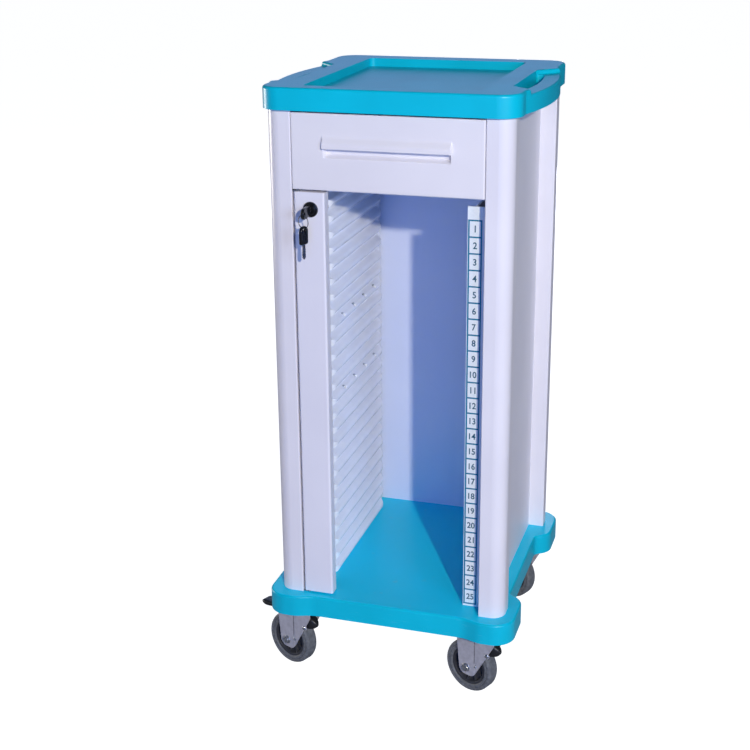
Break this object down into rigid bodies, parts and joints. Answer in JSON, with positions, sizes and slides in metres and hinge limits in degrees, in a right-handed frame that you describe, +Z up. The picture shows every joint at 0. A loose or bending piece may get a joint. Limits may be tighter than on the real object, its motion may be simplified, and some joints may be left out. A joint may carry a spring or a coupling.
{
  "type": "medical chart rack",
  "caption": "Hospital chart trolley: ledged racks with a numbered strip, a drawer, a narrow locking door, a handled tray top and a bumper base on swivel castors.",
  "frame": {"origin": "on the floor, under the middle of the rectangle of the four corner posts", "axes": "+Z up; -Y out of the open front, where the drawer and door are; +X towards the number strip"},
  "size_m": [0.5122, 0.5026, 1.091],
  "materials": {
    "cyan_plastic": "smooth gloss",
    "white_coated_steel": "satin powder coat",
    "coated_aluminium": "satin powder coat",
    "white_plastic": "semi-gloss",
    "label_strip": "printed, semi-matte",
    "bare_steel": "zinc plated",
    "fork_steel": "zinc plated, dull",
    "tyre_rubber": "matte",
    "hub_plastic": "matte",
    "black_plastic": "fine grain",
    "lock_black": "gloss black plating",
    "key_steel": "nickel plated",
    "frame_steel": "satin"
  },
  "bodies": {
    "cabinet": {"base_tray": "cyan_plastic", "base_frame": "frame_steel", "castor_bolts": "bare_steel", "post_screws": "bare_steel", "post_front_left": "coated_aluminium", "post_front_right": "coated_aluminium", "post_rear_left": "coated_aluminium", "post_rear_right": "coated_aluminium", "side_panel_left": "white_coated_steel", "side_panel_right": "white_coated_steel", "back_panel": "white_coated_steel", "chart_rack_left": "white_plastic", "chart_rack_right": "white_plastic", "rack_rails": "frame_steel", "rack_screws": "bare_steel", "number_strip": "label_strip", "drawer_shelf": "white_coated_steel", "drawer_runners": "bare_steel", "top_frame": "frame_steel", "top_cap": "cyan_plastic", "cap_screws": "bare_steel", "hinge_pins": "bare_steel", "castor_fl_plate": "bare_steel", "castor_fr_plate": "bare_steel", "castor_rl_plate": "bare_steel", "castor_rr_plate": "bare_steel"},
    "drawer": {"drawer_front": "white_plastic", "drawer_tray": "white_plastic", "drawer_slides": "bare_steel"},
    "door": {"locking_door": "white_coated_steel", "lock_barrel": "lock_black", "lock_nut": "bare_steel"},
    "lock": {"lock_plug": "bare_steel", "lock_cam": "bare_steel", "lock_cam_screw": "bare_steel", "key_bow": "black_plastic", "key_blade": "key_steel"},
    "ring": {"key_ring": "bare_steel"},
    "spare_key": {"spare_key_bow": "black_plastic", "spare_key_blade": "key_steel"},
    "castor_front_left": {"castor_fl_fork": "fork_steel", "castor_fl_pins": "bare_steel"},
    "wheel_front_left": {"castor_fl_hub": "hub_plastic", "castor_fl_tyre": "tyre_rubber"},
    "brake_front_left": {"castor_fl_brake": "black_plastic"},
    "castor_front_right": {"castor_fr_fork": "fork_steel", "castor_fr_pins": "bare_steel"},
    "wheel_front_right": {"castor_fr_hub": "hub_plastic", "castor_fr_tyre": "tyre_rubber"},
    "brake_front_right": {"castor_fr_brake": "black_plastic"},
    "castor_rear_left": {"castor_rl_fork": "fork_steel", "castor_rl_pins": "bare_steel"},
    "wheel_rear_left": {"castor_rl_hub": "hub_plastic", "castor_rl_tyre": "tyre_rubber"},
    "castor_rear_right": {"castor_rr_fork": "fork_steel", "castor_rr_pins": "bare_steel"},
    "wheel_rear_right": {"castor_rr_hub": "hub_plastic", "castor_rr_tyre": "tyre_rubber"}
  },
  "joints": [
    {"name": "drawer_slide", "type": "slide", "parent": "cabinet", "child": "drawer", "axis": [0, -1, 0], "range_m": [0, 0.3]},
    {"name": "door_hinge", "type": "hinge", "parent": "cabinet", "child": "door", "pos_m": [-0.1545, -0.209, 0.176], "axis": [0, 0, -1], "range_deg": [0, 100]},
    {"name": "lock_turn", "type": "hinge", "parent": "door", "child": "lock", "pos_m": [-0.131, -0.215, 0.8906], "axis": [0, -1, 0], "range_deg": [0, 90]},
    {"name": "ring_swing", "type": "hinge", "parent": "lock", "child": "ring", "pos_m": [-0.131, -0.2515, 0.8906], "axis": [1, 0, 0], "range_deg": [-60, 8]},
    {"name": "spare_key_swing", "type": "hinge", "parent": "ring", "child": "spare_key", "pos_m": [-0.131, -0.2515, 0.8654], "axis": [0.9511, -0.309, 0], "range_deg": [-25, 12]},
    {"name": "swivel_front_left", "type": "hinge", "parent": "cabinet", "child": "castor_front_left", "pos_m": [-0.1734, -0.1814, 0.1245], "axis": [0, 0, 1], "continuous": true},
    {"name": "roll_front_left", "type": "hinge", "parent": "castor_front_left", "child": "wheel_front_left", "pos_m": [-0.20355, -0.16798, 0.05], "axis": [0.4067, 0.9135, 0], "continuous": true},
    {"name": "brake_front_left", "type": "hinge", "parent": "castor_front_left", "child": "brake_front_left", "pos_m": [-0.16244, -0.18628, 0.08953], "axis": [-0.4067, -0.9135, 0], "range_deg": [0, 4.2]},
    {"name": "swivel_front_right", "type": "hinge", "parent": "cabinet", "child": "castor_front_right", "pos_m": [0.1734, -0.1814, 0.1245], "axis": [0, 0, 1], "continuous": true},
    {"name": "roll_front_right", "type": "hinge", "parent": "castor_front_right", "child": "wheel_front_right", "pos_m": [0.14325, -0.16798, 0.05], "axis": [0.4067, 0.9135, 0], "continuous": true},
    {"name": "brake_front_right", "type": "hinge", "parent": "castor_front_right", "child": "brake_front_right", "pos_m": [0.18436, -0.18628, 0.08953], "axis": [-0.4067, -0.9135, 0], "range_deg": [0, 4.2]},
    {"name": "swivel_rear_left", "type": "hinge", "parent": "cabinet", "child": "castor_rear_left", "pos_m": [-0.1734, 0.1814, 0.1245], "axis": [0, 0, 1], "continuous": true},
    {"name": "roll_rear_left", "type": "hinge", "parent": "castor_rear_left", "child": "wheel_rear_left", "pos_m": [-0.20355, 0.19482, 0.05], "axis": [0.4067, 0.9135, 0], "continuous": true},
    {"name": "swivel_rear_right", "type": "hinge", "parent": "cabinet", "child": "castor_rear_right", "pos_m": [0.1734, 0.1814, 0.1245], "axis": [0, 0, 1], "continuous": true},
    {"name": "roll_rear_right", "type": "hinge", "parent": "castor_rear_right", "child": "wheel_rear_right", "pos_m": [0.14325, 0.19482, 0.05], "axis": [0.4067, 0.9135, 0], "continuous": true}
  ]
}
